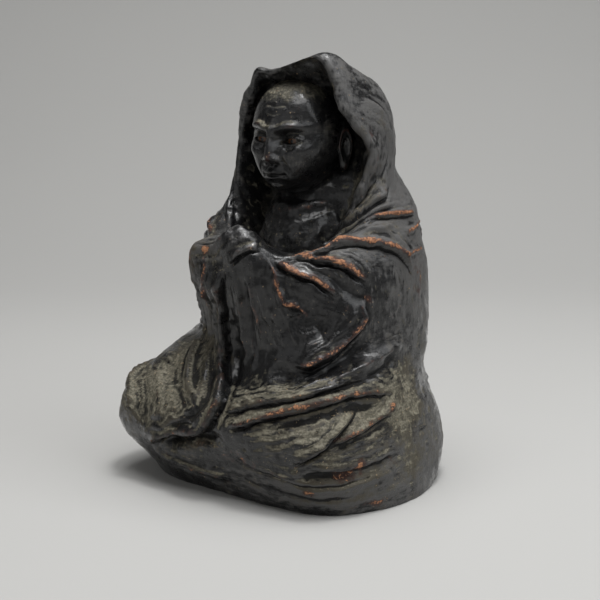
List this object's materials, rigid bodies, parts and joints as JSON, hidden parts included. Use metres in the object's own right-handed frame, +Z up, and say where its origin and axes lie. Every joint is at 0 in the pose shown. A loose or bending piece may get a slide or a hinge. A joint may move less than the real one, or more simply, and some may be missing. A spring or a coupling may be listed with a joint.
{
  "type": "seated hooded figure",
  "caption": "Small seated figure wrapped in a hooded cloak, fired clay under worn black lacquer, on its flat underside.",
  "frame": {"origin": "centre of the bounding box of the figure, on the surface that it stands on", "axes": "+Z up, the figure looks along -Y, and its left side is at +X"},
  "size_m": [0.1402, 0.1309, 0.2],
  "materials": {
    "lacquered_clay": "worn black lacquer over fired clay, bare clay on the ridges and dust in the folds"
  },
  "bodies": {
    "root": {"figure": "lacquered_clay"}
  },
  "joints": []
}
